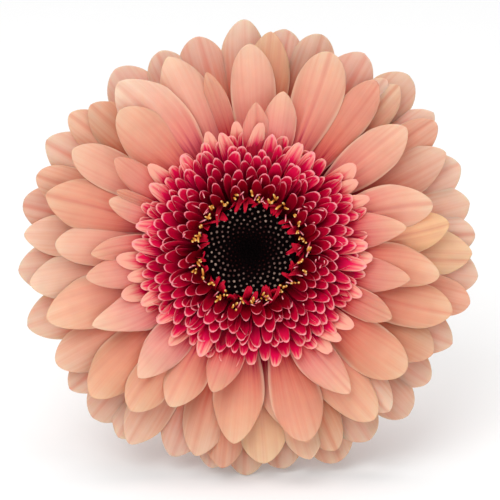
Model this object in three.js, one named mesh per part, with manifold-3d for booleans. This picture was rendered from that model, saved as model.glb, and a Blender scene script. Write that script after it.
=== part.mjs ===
// A cut gerbera, laid down: the bloom rests on its lower rim petals and the stem runs back from it
// and down to the table, where its cut end lies. Millimetres, +Z up, the bloom faces -Y.
//
// The bloom is built in its own frame and then turned: x right, y up the face, z out of the face.
// A petal's place round the bloom is its clock angle, in degrees from the top, clockwise.

import * as THREE from 'three';
import { mergeVertices } from 'three/addons/utils/BufferGeometryUtils.js';
import Module from 'manifold-3d';

const wasm = await Module();
wasm.setup();

// Driving dimensions
const faceTilt = 20;            // degrees that the face looks up from the horizontal
const stemLength = 250;
const stemRadius = 3.3;
const bloomRadius = 55;         // the reach of a petal of relative length 1
const petalThickness = 0.6;
const petalCrown = 0.7;         // how far a petal arches across its width
const clearance = 0.3;          // between pieces that touch in life
const petalGap = 0.5;           // between neighbours of one row
const collarLength = 1.4;       // the ring that the petals of a joined row grow from
const collarThickness = 0.9;
const collarSides = 24;

const headDepth = 18;           // from the top of the dome back to the stem
const cupRadius = 13;           // the rim of the receptacle
const rimLevel = -9;            // of that rim, along the face axis
const neckRadius = 3.8;
const cupBulge = { radius: 0.8, level: 0.35 };  // shares of the rim's radius and of the way up to it
const domeSlope = 45;           // degrees, of the dome that the florets stand on
const rowPitch = 1.4;           // between rows of florets, measured down the dome
const firstRow = 0.9;           // from the rim to the outermost row

const discTopRadius = 9.8;
const discTopLevel = 5.5;
const discDish = 2;             // how far the middle of the disc lies below its edge
const dishShoulder = 0.6;       // where the dish has sunk by this share of its depth, of the radius

const bractCrown = 0.4;         // how far a bract arches outwards across its width
const bractLift = 1.2;          // how far the bracts' tips stand off from the receptacle
const bractPlaces = [0.08, 0.5, 1];  // shares of the cup's flare that a bract passes over

const neckHandle = 0.7;         // of the straight run to the table, before the stem bows
const endHandle = 0.35;         // of the stem's reach, lying flat before the cut end

// A petal's outline: its half width swells as a sine and ends in a blunt round tip.
const outline = {
  power: 1.35,                  // the higher, the nearer the widest place is to the tip
  turn: 0.62,                   // how much of half a turn the sine goes through
  start: 0.12,                  // radians into the sine at the foot
  roundness: 9,                 // the higher, the shorter the rounding of the tip
  bluntTip: 0.2,                // share of the half width left at the very tip
};
const archRise = 3;             // how soon a petal reaches its full arch from either end
const archAtEnds = 0.1;         // share of the arch at foot and tip
const footShare = { petal: 0.3, floret: 0.5, bract: 0.7 };  // width of the foot

// Meshing
const tipCrowding = 1.6;        // how far cross sections crowd towards the tip
const steps = { alone: 6, joined: 5, small: 3, cup: 5, stem: 18, stemSide: 5, collar: 50 };
const turnedSides = 24;         // of the receptacle and the disc
const widestBorder = 60;        // degrees from a petal to the border with its neighbour, at most
const weldDistance = 1e-4;
const halvings = 30;            // in the search for the stem's reach

// The rows of ray petals, from the back. Each entry is [clock angle, relative length, width].
const backPetals = [
  [358.5, 1.01, 9], [9.3, 0.975, 8], [18.3, 0.99, 9], [30.2, 0.995, 10], [42.6, 1.03, 9], [53.2, 1.0, 9],
  [68.2, 0.99, 10], [77.5, 0.98, 9], [88.5, 0.99, 9], [101, 0.99, 10], [114.8, 0.97, 9],
  [126.2, 0.97, 9], [136.2, 1.0, 9], [147.2, 0.98, 9], [157.5, 1.0, 9], [170, 0.985, 9], [181, 0.965, 9],
  [191.5, 0.985, 9], [201, 0.965, 9], [212, 1.0, 9], [222.5, 1.0, 9], [233, 0.995, 9], [251.2, 1.03, 10],
  [265.5, 1.015, 10], [281.7, 1.015, 10], [298.3, 1.01, 10], [323.5, 0.985, 10], [335.3, 0.95, 9],
  [346.5, 0.96, 9],
];
const secondPetals = [
  [5.5, 0.95, 10], [38.5, 0.95, 9], [55.8, 0.98, 9], [66, 0.95, 11], [91, 0.965, 10], [119.5, 0.915, 10],
  [139, 0.925, 10], [160.5, 0.945, 10], [176.2, 0.93, 11], [194.8, 0.925, 11], [212, 0.995, 10],
  [239.5, 0.975, 10], [261.3, 0.97, 11], [274, 0.985, 10], [289.3, 0.98, 9], [309, 0.96, 10],
  [325, 0.925, 12],
];
const frontPetals = [
  [0, 0.89, 11], [22.5, 0.925, 12], [36.8, 0.91, 9], [52, 0.86, 11], [75.8, 0.82, 10], [87, 0.865, 9],
  [97.7, 0.83, 10], [109, 0.915, 10], [128.3, 0.855, 12], [144, 0.905, 11], [163.5, 0.865, 12],
  [184.8, 0.84, 12], [204, 0.77, 9], [216.8, 0.865, 10], [230, 0.93, 11], [251.3, 0.925, 12],
  [271.5, 0.84, 10], [285, 0.915, 10], [300, 0.88, 9], [317, 0.83, 13], [336, 0.905, 10],
];
const innerPetals = [
  [12, 0.7, 8], [81.7, 0.68, 8], [100.3, 0.7, 8], [115.8, 0.68, 7], [148, 0.75, 9], [170.3, 0.74, 8],
  [194.5, 0.64, 8], [221.2, 0.73, 9], [241, 0.75, 9], [260.5, 0.715, 8], [289.3, 0.645, 7], [304, 0.7, 7],
  [338, 0.66, 7],
];

// Each row's course, seen from the side: how far it rises square to the dome before it turns
// outwards, and the level of the tips along the face axis.
const rows = {
  back: { order: 0, rise: 10, tipLevel: -4 },
  second: { order: 1, rise: 12.7, tipLevel: -0.5 },
  front: { order: 2, rise: 15.5, tipLevel: 4.5 },
  inner: { order: 3, rise: 17.7, tipLevel: 8.5 },
  outerFlorets: { order: 4, rise: 17.7, tipLevel: 10.5 },
  middleFlorets: { order: 5, rise: 15.5, tipLevel: 10.5 },
  anthers: { order: 6, rise: 11.3, tipLevel: 9.5 },
};
// The small florets: how many, how far they reach and how wide they are.
const florets = {
  outerFlorets: { count: 34, reach: 28.5, width: 4 },
  middleFlorets: { count: 30, reach: 21.5, width: 3 },
  anthers: { count: 28, reach: 15, width: 2 },
};

const degrees = THREE.MathUtils.degToRad;
const group = new THREE.Group();
const bloom = new THREE.Group();
group.add(bloom);

function material(color, roughness) {
  return new THREE.MeshStandardMaterial({ color, roughness, metalness: 0 });
}
const salmon = material('#e8a086', 0.55);
const paleSalmon = material('#d9a38a', 0.6);
const crimson = material('#a5152f', 0.5);
const amber = material('#c98a3a', 0.6);
const darkBud = material('#2c0d12', 0.7);
const calyxGreen = material('#6f8a45', 0.7);
const stemGreen = material('#87a05a', 0.6);

// A point of the dome's slope, `down` mm from the rim, lifted off it by `lift`.
function onDome(down, lift) {
  const slope = degrees(domeSlope);
  return new THREE.Vector2(
    cupRadius - down * Math.cos(slope) + lift * Math.sin(slope),
    rimLevel + down * Math.sin(slope) + lift * Math.cos(slope),
  );
}

// The course of a row in the (radius, level) plane, from the dome to a tip at `reach`.
function rowCourse(row, reach) {
  const down = firstRow + row.order * rowPitch;
  const lift = clearance + petalThickness / 2;
  return new THREE.QuadraticBezierCurve(
    onDome(down, lift),
    onDome(down, lift + row.rise),
    new THREE.Vector2(reach, row.tipLevel),
  );
}

// A petal's half width at a share of its length: narrow foot, widest past the middle, round tip.
function petalOutline(share, foot) {
  const swell = Math.sin(Math.PI * Math.pow(share, outline.power) * outline.turn + outline.start);
  const round = Math.sqrt(Math.max(0, 1 - Math.pow(share, outline.roundness)));
  return THREE.MathUtils.lerp(foot, 1, Math.min(1, swell)) * Math.max(round, outline.bluntTip);
}

// One petal as a closed solid. `room` holds the angles to the borders with its two neighbours,
// which the petal's edges keep clear of by half the petal gap. `start` is the share of the course
// where the petal begins.
function petalGeometry({ course, width, room, clock, lengthwise, foot, crosswise, start }) {
  const sheet = new THREE.BoxGeometry(2, 1, 1, crosswise, lengthwise, 1);
  const position = sheet.attributes.position;
  const turn = degrees(clock);
  for (let i = 0; i < position.count; i++) {
    const across = position.getX(i);
    const even = position.getY(i) + 0.5;
    const eased = 1 - Math.pow(1 - even, tipCrowding);
    const share = start + (1 - start) * eased;
    const side = position.getZ(i);
    const point = course.getPoint(share);
    const tangent = course.getTangent(share);
    const border = room[across < 0 ? 0 : 1];
    const spare = point.x * Math.tan(degrees(Math.min(border, widestBorder))) - petalGap / 2;
    const half = Math.min(petalOutline(share, foot) * width / 2, spare);
    const full = Math.min(1, archRise * share * (1 - share) + archAtEnds);
    const arch = petalCrown * (1 - across * across) * full;
    const lift = side * petalThickness + arch;
    const radius = point.x - tangent.y * lift;
    const level = point.y + tangent.x * lift;
    const sideways = across * half;
    position.setXYZ(
      i,
      radius * Math.sin(turn) + sideways * Math.cos(turn),
      radius * Math.cos(turn) - sideways * Math.sin(turn),
      level,
    );
  }
  return closed(sheet);
}

// The same shape with its corners shared and its faces pointing out.
function closed(geometry) {
  geometry.deleteAttribute('normal');
  geometry.deleteAttribute('uv');
  const merged = mergeVertices(geometry, weldDistance);
  const { array } = merged.attributes.position;
  const index = merged.index.array;
  let volume = 0;
  const [a, b, c] = [new THREE.Vector3(), new THREE.Vector3(), new THREE.Vector3()];
  for (let i = 0; i < index.length; i += 3) {
    a.fromArray(array, 3 * index[i]);
    b.fromArray(array, 3 * index[i + 1]);
    c.fromArray(array, 3 * index[i + 2]);
    volume += a.dot(b.cross(c));
  }
  if (volume < 0) {
    for (let i = 0; i < index.length; i += 3) {
      [index[i], index[i + 1]] = [index[i + 1], index[i]];
    }
  }
  merged.computeVertexNormals();
  return merged;
}

// One solid out of several closed shapes that run into each other.
function joined(geometries) {
  const solids = geometries.map((geometry) => new wasm.Manifold(new wasm.Mesh({
    numProp: 3,
    vertProperties: geometry.attributes.position.array,
    triVerts: new Uint32Array(geometry.index.array),
  })));
  const mesh = solids.reduce((sum, solid) => sum.add(solid)).getMesh();
  const geometry = new THREE.BufferGeometry();
  geometry.setAttribute('position', new THREE.BufferAttribute(mesh.vertProperties, 3));
  geometry.setIndex(new THREE.BufferAttribute(mesh.triVerts, 1));
  geometry.computeVertexNormals();
  return geometry;
}

// A profile of (radius, level) points turned round the face axis, which LatheGeometry calls Y.
function turned(profile, sides) {
  const geometry = new THREE.LatheGeometry(profile, sides);
  geometry.rotateX(Math.PI / 2);
  return closed(geometry);
}

// The ring that a row of joined petals shares at its foot, round the course's first stretch.
function collar(course) {
  const half = collarThickness / 2;
  const corners = [[0, -half], [collarLength, -half], [collarLength, half], [0, half], [0, -half]];
  return turned(corners.map(([along, across]) => {
    const share = along / course.getLength();
    const point = course.getPointAt(share);
    const tangent = course.getTangentAt(share);
    return new THREE.Vector2(point.x - tangent.y * across, point.y + tangent.x * across);
  }), collarSides);
}

// The share of a course that lies half way along its collar, where joined petals begin.
function insideCollar(course) {
  const wanted = collarLength / 2;
  let step = 1;
  while (course.getPoint(step / steps.collar).distanceTo(course.getPoint(0)) < wanted) step++;
  return step / steps.collar;
}

function add(name, geometry, look) {
  const mesh = new THREE.Mesh(geometry, look);
  mesh.name = name;
  bloom.add(mesh);
}

// The petals of a row, each kept inside the wedge between the borders with its neighbours,
// which divide the angle between two petals in proportion to their widths.
function rowOfPetals(list, row, lengthwise, joinedRow) {
  return list.map(([clock, relative, width], i) => {
    const before = list[(i + list.length - 1) % list.length];
    const after = list[(i + 1) % list.length];
    const angleTo = (other) => Math.abs(THREE.MathUtils.euclideanModulo(other[0] - clock + 180, 360) - 180);
    const room = [before, after].map((other) => angleTo(other) * width / (width + other[2]));
    const course = rowCourse(row, relative * bloomRadius);
    const start = joinedRow ? insideCollar(course) : 0;
    return petalGeometry({
      course, width, room, clock, lengthwise, foot: footShare.petal, crosswise: 2, start,
    });
  });
}

function separatePetals(name, list, row, look) {
  rowOfPetals(list, row, steps.alone, false).forEach((geometry, i) => {
    add(`${name}_${String(i + 1).padStart(2, '0')}`, geometry, look);
  });
}

function joinedPetals(name, list, row, look) {
  const course = rowCourse(row, bloomRadius);
  add(name, joined([collar(course), ...rowOfPetals(list, row, steps.joined, true)]), look);
}

function joinedFlorets(name, row, { count, reach, width }, look) {
  const course = rowCourse(row, reach);
  const step = 360 / count;
  const tongues = Array.from({ length: count }, (_, i) => petalGeometry({
    course, width, room: [step / 2, step / 2], clock: i * step, lengthwise: steps.small,
    foot: footShare.floret, crosswise: 1, start: insideCollar(course),
  }));
  add(name, joined([collar(course), ...tongues]), look);
}

// The receptacle: a cup that flares from the stem to its rim, under the dome of floret tubes.
const lastRow = rows.anthers.order;
const domeTop = onDome(firstRow + (lastRow + 1) * rowPitch, 0);
const neckLevel = domeTop.y - headDepth;
const cupFlare = new THREE.QuadraticBezierCurve(
  new THREE.Vector2(neckRadius, neckLevel),
  new THREE.Vector2(
    cupRadius * cupBulge.radius,
    neckLevel + (rimLevel - neckLevel) * cupBulge.level,
  ),
  new THREE.Vector2(cupRadius, rimLevel),
);
add('receptacle', turned([
  new THREE.Vector2(0, neckLevel),
  ...cupFlare.getPoints(steps.cup),
  domeTop,
  new THREE.Vector2(0, domeTop.y),
], turnedSides), calyxGreen);

// The involucre: two rows of narrow bracts round the cup, each row one ring.
function bractRing(name, layer, count, width, look) {
  const depth = clearance + collarThickness / 2 + layer * (collarThickness + bractCrown + clearance);
  const points = bractPlaces.map((share) => {
    const point = cupFlare.getPoint(share);
    const tangent = cupFlare.getTangent(share);
    const off = depth + bractLift * share * share;
    return new THREE.Vector2(point.x + tangent.y * off, point.y - tangent.x * off);
  });
  const course = new THREE.SplineCurve(points);
  const step = 360 / count;
  const blades = Array.from({ length: count }, (_, i) => petalGeometry({
    course, width, room: [step / 2, step / 2], clock: (i + layer / 2) * step,
    lengthwise: steps.small, foot: footShare.bract, crosswise: 1, start: insideCollar(course),
  }));
  add(name, joined([collar(course), ...blades]), look);
}
bractRing('inner_bracts', 0, 21, 3.2, calyxGreen);
bractRing('outer_bracts', 1, 18, 2.8, calyxGreen);

separatePetals('back_petal', backPetals, rows.back, paleSalmon);
joinedPetals('second_petals', secondPetals, rows.second, salmon);
separatePetals('front_petal', frontPetals, rows.front, salmon);
joinedPetals('inner_petals', innerPetals, rows.inner, salmon);
joinedFlorets('outer_florets', rows.outerFlorets, florets.outerFlorets, crimson);
joinedFlorets('middle_florets', rows.middleFlorets, florets.middleFlorets, crimson);
joinedFlorets('anther_florets', rows.anthers, florets.anthers, amber);

// The disc of closed buds: a sheaf that widens from the dome to its dished top.
const discFoot = domeTop.x - clearance;
add('disc_buds', turned([
  new THREE.Vector2(0, domeTop.y + clearance),
  new THREE.Vector2(discFoot, domeTop.y + clearance),
  new THREE.Vector2(discTopRadius, discTopLevel),
  new THREE.Vector2(discTopRadius * dishShoulder, discTopLevel - discDish * dishShoulder),
  new THREE.Vector2(0, discTopLevel - discDish),
], turnedSides), darkBud);

// The bloom is turned to face up a little and lifted until its lowest petal touches the table.
bloom.rotation.x = Math.PI / 2 - degrees(faceTilt);
bloom.updateMatrixWorld(true);
const lowest = new THREE.Box3().setFromObject(bloom, true).min.z;
bloom.position.z = -lowest;
bloom.updateMatrixWorld(true);

// The stem leaves the neck square to it, sinks to the table in one easy bow and meets it flat.
const backwards = new THREE.Vector3(0, 0, -1).transformDirection(bloom.matrixWorld);
const neck = new THREE.Vector3(0, 0, neckLevel - clearance).applyMatrix4(bloom.matrixWorld);
const drop = neck.z - stemRadius;
const straightRun = drop / Math.sin(degrees(faceTilt));
function stemCourse(reach) {
  const end = new THREE.Vector3(0, neck.y + reach, stemRadius);
  return new THREE.CubicBezierCurve3(
    neck,
    neck.clone().addScaledVector(backwards, neckHandle * straightRun),
    end.clone().add(new THREE.Vector3(0, -endHandle * reach, 0)),
    end,
  );
}
let [near, far] = [0, stemLength];
for (let i = 0; i < halvings; i++) {
  const middle = (near + far) / 2;
  if (stemCourse(middle).getLength() < stemLength) near = middle;
  else far = middle;
}
const stemSection = new THREE.Shape().absarc(0, 0, stemRadius, 0, 2 * Math.PI);
const stem = new THREE.Mesh(
  closed(new THREE.ExtrudeGeometry(stemSection, {
    extrudePath: stemCourse(near), steps: steps.stem, curveSegments: steps.stemSide, bevelEnabled: false,
  })),
  stemGreen,
);
stem.name = 'stem';
group.add(stem);

// The origin is under the middle of the whole flower, on the table.
const middle = new THREE.Box3().setFromObject(group, true).getCenter(new THREE.Vector3());
group.position.set(-middle.x, -middle.y, 0);

export default group;
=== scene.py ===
# A cut gerbera, laid down on a table: the bloom rests on its lower petals and looks a little up,
# and the bare stem runs back from it and down to the table.
import math
from functools import partial

import bpy
import numpy as np
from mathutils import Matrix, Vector


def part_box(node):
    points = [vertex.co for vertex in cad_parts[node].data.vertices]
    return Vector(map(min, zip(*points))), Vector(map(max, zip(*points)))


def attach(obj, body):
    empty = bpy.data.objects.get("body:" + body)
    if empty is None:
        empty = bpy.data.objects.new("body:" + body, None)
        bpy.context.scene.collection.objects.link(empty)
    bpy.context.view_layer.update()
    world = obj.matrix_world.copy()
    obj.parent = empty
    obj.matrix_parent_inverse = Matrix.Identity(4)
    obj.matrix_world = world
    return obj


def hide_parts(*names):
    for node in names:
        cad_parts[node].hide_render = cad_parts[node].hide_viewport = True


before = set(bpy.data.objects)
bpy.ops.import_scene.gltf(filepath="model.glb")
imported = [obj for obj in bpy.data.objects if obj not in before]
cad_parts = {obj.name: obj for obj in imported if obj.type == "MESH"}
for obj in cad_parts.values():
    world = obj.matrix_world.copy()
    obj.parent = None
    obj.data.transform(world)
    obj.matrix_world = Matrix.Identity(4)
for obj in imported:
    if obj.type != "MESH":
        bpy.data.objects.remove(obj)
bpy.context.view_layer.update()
mm = 0.001
chance = np.random.default_rng(12)  # the one source of every small irregularity
print("frame loaded with", len(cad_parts), "nodes")

# The bloom's own frame, in mm: x right, y up the face, z out of the face. A clock angle is in
# degrees from the top of the face, clockwise. The receptacle's box says where its middle is.
bloomFrame = {
    "tilt": 20,          # how far the face looks up
    "rimRadius": 13,     # of the receptacle
    "rimLevel": -9,
    "neckRadius": 3.8,
    "neckLevel": -19.43,
}
tilt = math.radians(bloomFrame["tilt"])
cupLow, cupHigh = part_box("receptacle")
neckBack = bloomFrame["neckRadius"] * math.sin(tilt) - bloomFrame["neckLevel"] * math.cos(tilt)
bloomMiddle = np.array([
    (cupLow[0] + cupHigh[0]) / 2,
    cupHigh[1] - mm * neckBack,
    (cupLow[2] + cupHigh[2]) / 2 - mm * bloomFrame["rimLevel"] * math.sin(tilt),
])
bloomTurn = np.array([
    [1, 0, 0],
    [0, math.sin(tilt), -math.cos(tilt)],
    [0, math.cos(tilt), math.sin(tilt)],
])


def toWorld(points):
    # from the bloom's frame in mm to the table's frame in metres
    return bloomMiddle + mm * np.asarray(points) @ bloomTurn.T


def smoothStep(low, high, x):
    # 0 below low, 1 above high, and 3 t squared less 2 t cubed between them
    t = np.clip((x - low) / (high - low), 0, 1)
    return t * t * (3 - 2 * t)


def unit(steps):
    # each step over its own length
    return steps / np.linalg.norm(steps, axis=-1, keepdims=True)


def linear(hexColour):
    # sRGB hex to linear light
    c = np.array([int(hexColour[i:i + 2], 16) / 255 for i in (1, 3, 5)])
    c = np.where(c <= 0.04045, c / 12.92, ((c + 0.055) / 1.055) ** 2.4)
    return (float(c[0]), float(c[1]), float(c[2]), 1.0)


def addNode(tree, kind, *values, stops=(), out=0, **settings):
    # One node, and the socket of its output. A space parts its kind from its operation. Its inputs
    # are given in their order, or by name in a dictionary, as numbers, hex colours or sockets to
    # link; stops are a ramp's (place, hex) pairs.
    kind, _, operation = kind.partition(" ")
    node = tree.nodes.new("ShaderNode" + kind)
    if operation:
        node.operation = operation
    for key, value in settings.items():
        setattr(node, key, value)
    inputs = values[0] if values and isinstance(values[0], dict) else dict(enumerate(values))
    for key, value in inputs.items():
        if isinstance(value, bpy.types.NodeSocket):
            tree.links.new(value, node.inputs[key])
        else:
            node.inputs[key].default_value = linear(value) if isinstance(value, str) else value
    for _ in stops[2:]:
        node.color_ramp.elements.new(0.5)
    for number, (place, colour) in enumerate(stops):
        node.color_ramp.elements[number].position = place
        node.color_ramp.elements[number].color = linear(colour)
    return node.outputs[out] if node.outputs else node


smooth = {"interpolation_type": "SMOOTHSTEP"}


def startMaterial(name):
    # a new material and the function that adds nodes to it
    material = bpy.data.materials.new(name)
    material.use_nodes = True
    material.node_tree.nodes.clear()
    return material, partial(addNode, material.node_tree)


def finishMaterial(material, add, inputs):
    # living tissue has an IOR near 1.4
    add("OutputMaterial", {"Surface": add("BsdfPrincipled", {"IOR": 1.4} | inputs)})
    return material


def petalPlace(add, axis=None):
    # a piece's own map: X runs across it from 0 to 1, and Y from 0 at the foot to 1 at the tip
    place = add("UVMap", uv_map="petalMap")
    return add("SeparateXYZ", place, out=axis) if axis else place


def streakPattern(add, place, across, along, shift=None, detail=2.0):
    # noise with so many patches across a piece and along it; the shift makes each petal's its own
    place = add("Mapping", {"Vector": place, "Scale": (across, along, 1)})
    if shift is not None:
        place = add("VectorMath ADD", place, shift)
    return add("TexNoise", {"Vector": place, "Scale": 1.0, "Detail": detail})


def grainPattern(add, size, detail=2.0):
    # noise with patches of a size in mm
    return add("TexNoise", {"Vector": add("TexCoord", out="Object"), "Scale": 1000 / size, "Detail": detail})


# Ray petals: thin living tissue with a satin skin, each entry a row's material name and its colours
# from foot to tip. They give crimson feet, then coral, salmon and a pale peach end. The coral middles,
# mostly hidden under the petals in front, are made more saturated as painted reddish shade between
# the petals, and the rows further back are darker as painted shade.
rayStops = {
    "ray": ("gerbera ray petal, satin skin", [
        (0.0, "#B00A32"), (0.05, "#C42C42"), (0.12, "#D05854"), (0.28, "#DC7662"),
        (0.55, "#DF9277"), (0.80, "#E0A486"), (1.0, "#E2B698"),
    ]),
    "innerRay": ("gerbera inner ray petal, satin skin", [
        (0.0, "#B40A34"), (0.06, "#C83048"), (0.16, "#D46260"), (0.34, "#DC8276"),
        (0.6, "#DF9C86"), (0.8, "#E1AC90"), (1.0, "#E6BC9E"),
    ]),
    # a little darker than the front row: painted shade for a row that lies lower
    "shadedSecondRay": ("gerbera middle ray petal, satin skin with painted shade", [
        (0.0, "#AC0A2F"), (0.05, "#BE2A3E"), (0.14, "#CE5249"), (0.32, "#D8735C"),
        (0.56, "#DA9278"), (0.78, "#DEA88E"), (1.0, "#E4BCA4"),
    ]),
    # darker and duller than the front row: painted shade for the lowest row, behind the others
    "shadedBackRay": ("gerbera back ray petal, duller satin skin", [
        (0.0, "#A80A2C"), (0.06, "#B82C3A"), (0.15, "#C84E42"), (0.36, "#D06E56"),
        (0.56, "#D29078"), (0.76, "#D4A893"), (1.0, "#DABCA8"),
    ]),
}
raySkin = {
    "streaks": 26,         # across one petal, coarser than the real veins so that they show
    "sway": 0.09,          # how far the streaks carry the colours up and down the petal
    # the middle fold's crease is painted darker and pinker as painted shade: its breadth, reach and bands
    "foldShade": 0.16,          # half breadth of the middle fold, as a share of the half width
    "foldShadeReach": 0.17,     # how much further the foot's colours run along the fold
    "pink": "#D67C74", "pinkShare": 0.38,         # of the pinkest petal
    "yellow": "#E8B682", "yellowShare": 0.55,     # of the yellowest petal
    "band": "#CE7264", "bands": 11, "bandShare": 0.3, "foldShadeShare": 0.25,   # broad pink bands
    "mottle": 5.0, "mottleShare": 0.04,           # mm, and how much it darkens and brightens
    "lightness": 0.12,     # between the middle petal and the lightest or the darkest
    # a paler painted highlight along the thin edges
    "edge": "#F6CCB0", "edgeShare": 0.42, "edgeFrom": 0.88,
    "veinDepth": 0.12,     # mm
    "roughness": 0.52, "subsurface": 0.45,
}


def makeRaySkin(name, stops):
    s = raySkin
    material, add = startMaterial(name)
    place = petalPlace(add)
    paling, tone, lightness, foldAt, foldDepth = [
        add("Attribute", attribute_name=mark, out="Fac")
        for mark in ("paling", "tone", "lightness", "foldAt", "foldDepth")
    ]
    # fine streaks run along the petal and carry its colours a little way with them
    streak = streakPattern(add, place, s["streaks"], 1.3, tone, 3.0)
    sway = add("MapRange", streak, 0.25, 0.75, -s["sway"], s["sway"])
    along = add("Math ADD", paling, sway)
    # the fold down the middle, painted shade in its crease: crimson reaches further along it, and it stays
    # pinker to the tip
    sideways = add("MapRange", petalPlace(add, "X"), 0.0, 1.0, -1.0, 1.0)
    offFold = add("Math SUBTRACT", sideways, foldAt)
    offFold = add("Math ABSOLUTE", offFold)
    foldShade = add("MapRange", offFold, 0.0, s["foldShade"], 1.0, 0.0, **smooth)
    foldShade = add("Math MULTIPLY", foldShade, foldDepth)
    along = add("Math MULTIPLY_ADD", foldShade, -s["foldShadeReach"], along)
    colour = add("ValToRGB", along, stops=stops)
    # the tone only colours the pale part, not the crimson foot
    pale = add("MapRange", paling, 0.2, 0.7)
    pinkShare = add("MapRange", tone, 0.0, 0.4, s["pinkShare"], 0.0)
    yellowShare = add("MapRange", tone, 0.55, 1.0, 0.0, s["yellowShare"])
    # broader pink bands lie between the veins and run on to the tip
    band = streakPattern(add, place, s["bands"], 0.9, tone)
    bandShare = add("MapRange", band, 0.5, 0.74, 0.0, s["bandShare"])
    # more pink bands along the middle fold, as painted shade in the crease
    bandShare = add("Math MULTIPLY_ADD", foldShade, s["foldShadeShare"], bandShare)
    for share, look in ((pinkShare, "pink"), (yellowShare, "yellow"), (bandShare, "band")):
        share = add("Math MULTIPLY", share, pale)
        colour = add("MixRGB", share, colour, s[look])
    # soft mottling, and each petal's own lightness
    mottle = grainPattern(add, s["mottle"])
    bright = add("MapRange", mottle, 0.3, 0.7, 1 - s["mottleShare"], 1 + s["mottleShare"])
    lighter = add("MapRange", lightness, 0.0, 1.0, 1 - s["lightness"], 1 + s["lightness"])
    bright = add("Math MULTIPLY", bright, lighter)
    paler = add("MapRange", lightness, 0.0, 1.0, 1.1, 0.9)
    colour = add("HueSaturation", {"Color": colour, "Value": bright, "Saturation": paler})
    # the thin edge lets more light through: a paler painted highlight along it
    sideways = add("Math ABSOLUTE", sideways)
    edge = add("MapRange", sideways, s["edgeFrom"], 1.0, 0.0, s["edgeShare"], **smooth)
    colour = add("MixRGB", edge, colour, s["edge"])
    veins = streakPattern(add, place, s["streaks"] * 2, 1.0)
    rough = add("MapRange", streak, 0.3, 0.7, s["roughness"] - 0.06, s["roughness"] + 0.08)
    return finishMaterial(material, add, {
        "Base Color": colour, "Roughness": rough,
        "Normal": add("Bump", {"Strength": 0.35, "Distance": s["veinDepth"] * mm, "Height": veins}),
        "Specular IOR Level": 0.35, "Subsurface Weight": s["subsurface"], "Subsurface Scale": 0.0016,
        "Subsurface Radius": (1.0, 0.35, 0.2), "Sheen Weight": 0.12, "Sheen Roughness": 0.5,
    })


# Small florets: crimson velvet, with painted shade that darkens each tongue towards its foot among the
# others, and a thin pale rim. The tone goes from the wine red of the inner ones to the bright,
# salmon-tipped outer ones.
floretSkin = {
    "inner": "#B6001C", "outer": "#E80854",
    # painted shade at the foot of each tongue, where it sinks among the others
    "footShade": "#5C000C", "footShadeTo": (0.36, 0.78),    # share of the length where the dark foot ends
    "tip": "#EEA892",
    "rimInner": "#EC7888", "rim": "#FFB0B2",
    "sideRim": (0.38, 0.48),     # off the middle, where the half width is 0.5
    "tipRim": (0.935, 0.985),    # share of the length
}


def makeFloretSkin():
    s = floretSkin
    material, add = startMaterial("gerbera small floret, crimson velvet")
    place, along = petalPlace(add), petalPlace(add, "Y")
    tone, flush = [add("Attribute", attribute_name=mark, out="Fac") for mark in ("tone", "paling")]
    body = add("MixRGB", tone, s["inner"], s["outer"])
    # painted shade: each tongue darker towards its foot
    footShade = add("MapRange", along, *s["footShadeTo"], 1.0, 0.0)
    body = add("MixRGB", footShade, body, s["footShade"])
    streak = streakPattern(add, place, 9, 1.5, tone)
    # salmon spreads from the tip along the streaks, on the outer florets only
    sideways = add("Math SUBTRACT", petalPlace(add, "X"), 0.5)
    sideways = add("Math ABSOLUTE", sideways)
    reach = add("Math ADD", flush, streak)
    reach = add("Math MULTIPLY_ADD", sideways, 0.35, reach)
    salmon = add("MapRange", reach, 0.85, 1.35)
    tipped = add("MixRGB", salmon, body, s["tip"])
    # the rim runs round the tip and a little way down both sides
    sideRim = add("MapRange", sideways, *s["sideRim"], **smooth)
    farUp = add("MapRange", along, 0.86, 0.97)
    sideRim = add("Math MULTIPLY", sideRim, farUp)
    tipRim = add("MapRange", along, *s["tipRim"], **smooth)
    rim = add("Math MAXIMUM", sideRim, tipRim)
    # a salmon tip hides its own rim
    plain = add("Math MULTIPLY_ADD", salmon, -0.85, 1.0)
    rim = add("Math MULTIPLY", rim, plain)
    rimColour = add("MixRGB", tone, s["rimInner"], s["rim"])
    return finishMaterial(material, add, {
        "Base Color": add("MixRGB", rim, tipped, rimColour),
        "Roughness": add("MapRange", streak, 0.3, 0.7, 0.45, 0.62),
        "Normal": add("Bump", {"Strength": 0.4, "Distance": 0.1 * mm, "Height": streak}),
        "Specular IOR Level": 0.18, "Subsurface Weight": 0.2, "Subsurface Scale": 0.0006,
        "Subsurface Radius": (1.0, 0.2, 0.2),
    })


# Anthers: tubes dusted with pollen, dark below and yellow at the mouth, dry and grainy.
def makePollen():
    material, add = startMaterial("gerbera anther, pollen dusted")
    grain = grainPattern(add, 0.25)
    height = add("Math MULTIPLY_ADD", grain, 0.2, petalPlace(add, "Y"))
    colour = add("ValToRGB", height, stops=[
        (0.0, "#6A2410"), (0.3, "#A04E16"), (0.6, "#C87A2A"), (0.85, "#E0A046"), (1.0, "#F0C880"),
    ])
    return finishMaterial(material, add, {
        "Base Color": colour, "Roughness": 0.7, "Specular IOR Level": 0.3,
        "Normal": add("Bump", {"Strength": 0.6, "Distance": 0.1 * mm, "Height": grain}),
    })


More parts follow.
